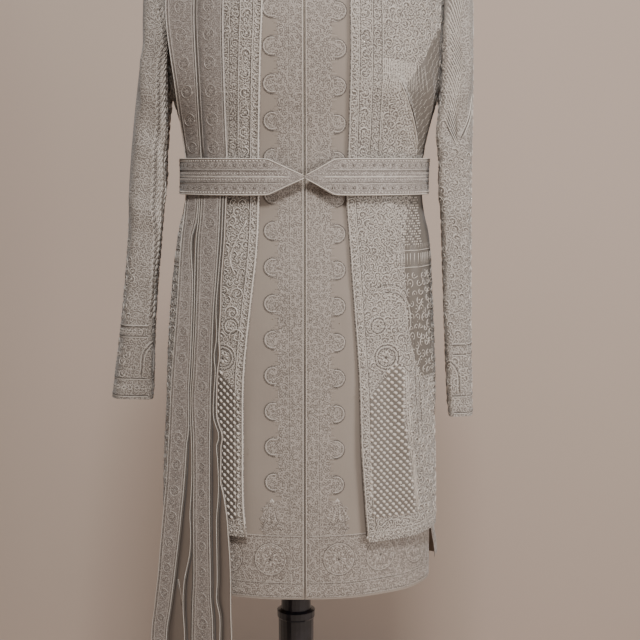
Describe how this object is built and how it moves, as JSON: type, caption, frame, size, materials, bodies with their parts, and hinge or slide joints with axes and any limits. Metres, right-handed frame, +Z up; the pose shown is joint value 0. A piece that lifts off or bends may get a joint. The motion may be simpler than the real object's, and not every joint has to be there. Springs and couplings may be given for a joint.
{
  "type": "sherwani coat on a dress form",
  "caption": "Long embroidered sherwani under an open outer coat, with a pointed belt and a pleated stole, worn by a limbless dress form on a turned stand.",
  "frame": {"origin": "centre of the stand's underside, on the floor", "axes": "+Z up, the front faces -Y, the wearer's right is towards -X"},
  "size_m": [0.53, 0.4, 1.67],
  "materials": {
    "coat_satin": "soft satin, greyish beige, thread embroidery in bands",
    "embroidered_silk": "silk covered with tone-on-tone thread embroidery",
    "belt_silk": "stiff band with rows of florets and pale piping",
    "stole_silk": "silk with embroidered borders and pale rolled edges",
    "form_linen": "plain linen cover on a firm torso",
    "black_wood": "turned wood, satin black lacquer"
  },
  "bodies": {
    "root": {"inner_front_right": "coat_satin", "inner_front_left": "coat_satin", "inner_back": "coat_satin", "inner_collar": "coat_satin", "outer_front_right": "embroidered_silk", "outer_front_left": "embroidered_silk", "outer_back": "embroidered_silk", "sleeve_right": "embroidered_silk", "sleeve_left": "embroidered_silk", "belt": "belt_silk", "stole_upper": "stole_silk", "stole_lower": "stole_silk", "form_torso": "form_linen", "form_neck_cap": "black_wood", "stand_pole": "black_wood", "stand_base": "black_wood"}
  },
  "joints": []
}
